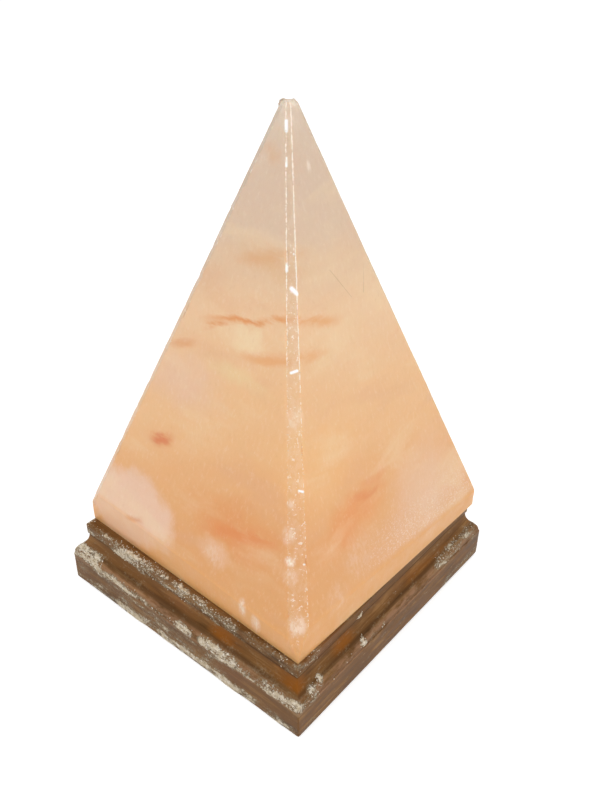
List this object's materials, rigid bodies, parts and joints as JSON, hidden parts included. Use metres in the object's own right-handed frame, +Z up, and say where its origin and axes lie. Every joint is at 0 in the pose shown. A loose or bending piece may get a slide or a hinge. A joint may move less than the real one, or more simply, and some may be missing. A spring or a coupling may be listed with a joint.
{
  "type": "salt crystal lamp",
  "caption": "Ground pyramid of pale pink rock salt on a moulded square wooden base, hollowed for a small bulb in a holder that pulls out from below.",
  "frame": {"origin": "middle of the base, on the surface that the foot pads stand on", "axes": "+Z up through the tip; +Y towards the side where the cord channel leaves the base; +X towards the right-hand visible side of the picture, so that the corner nearest the camera is +X, -Y"},
  "size_m": [0.145, 0.145, 0.2399],
  "materials": {
    "salt": "ground rock salt, satin",
    "wood": "dark varnished hardwood, satin",
    "felt": "pressed felt, matte",
    "zinc_steel": "zinc plated steel, satin",
    "plug_plastic": "grey nylon, matte",
    "holder_plastic": "black moulded plastic, satin",
    "ceramic": "white unglazed ceramic, matte",
    "brass": "bright brass, satin",
    "spring_steel": "spring steel, satin",
    "bulb_glass": "clear glass, polished",
    "vitrite": "black glass insulator, gloss",
    "solder": "tin solder, satin",
    "nickel_wire": "nickel wire, satin",
    "tungsten": "tungsten, matte"
  },
  "bodies": {
    "lamp": {"wooden_base": "wood", "foot_pad_front_left": "felt", "foot_pad_back_left": "felt", "foot_pad_front_right": "felt", "foot_pad_back_right": "felt", "block_screws": "zinc_steel", "wall_plugs": "plug_plastic", "salt_pyramid": "salt"},
    "holder": {"holder_cap": "holder_plastic", "holder_shell": "holder_plastic", "holder_core": "ceramic", "thread_sleeve": "brass", "centre_contact": "brass", "sleeve_contact": "brass", "terminal_screws": "zinc_steel", "clip_collar": "spring_steel", "collar_screw": "zinc_steel", "collar_nut": "zinc_steel", "wing_rivets": "zinc_steel"},
    "wing_right": {"clip_wing_right": "spring_steel"},
    "wing_left": {"clip_wing_left": "spring_steel"},
    "bulb_travel": {"bulb_tip": "solder"},
    "bulb": {"bulb_vitrite": "vitrite", "bulb_cap": "brass", "bulb_glass": "bulb_glass", "bulb_stem": "bulb_glass", "bulb_leads": "nickel_wire", "bulb_supports": "nickel_wire", "bulb_filament": "tungsten"}
  },
  "joints": [
    {"name": "holder_pull", "type": "slide", "parent": "lamp", "child": "holder", "axis": [0, 0, -1], "range_m": [0, 0.1]},
    {"name": "wing_right_squeeze", "type": "hinge", "parent": "holder", "child": "wing_right", "pos_m": [0.0147, 0, 0.0455], "axis": [0, 1, 0], "range_deg": [0, 6], "stiffness_Nm_per_rad": 0.15, "springref_deg": -4.98},
    {"name": "wing_left_squeeze", "type": "hinge", "parent": "holder", "child": "wing_left", "pos_m": [-0.0147, 0, 0.0455], "axis": [0, -1, 0], "range_deg": [0, 6], "stiffness_Nm_per_rad": 0.15, "springref_deg": -4.98},
    {"name": "bulb_lift", "type": "slide", "parent": "holder", "child": "bulb_travel", "axis": [0, 0, 1], "range_m": [0, 0.0099]},
    {"name": "bulb_turn", "type": "hinge", "parent": "bulb_travel", "child": "bulb", "pos_m": [0, 0, 0.045], "axis": [0, 0, 1], "range_deg": [0, 1260]}
  ],
  "couplings": [
    {"joint": "bulb_lift", "follows": "bulb_turn", "m_per_rad": 0.00044913}
  ]
}
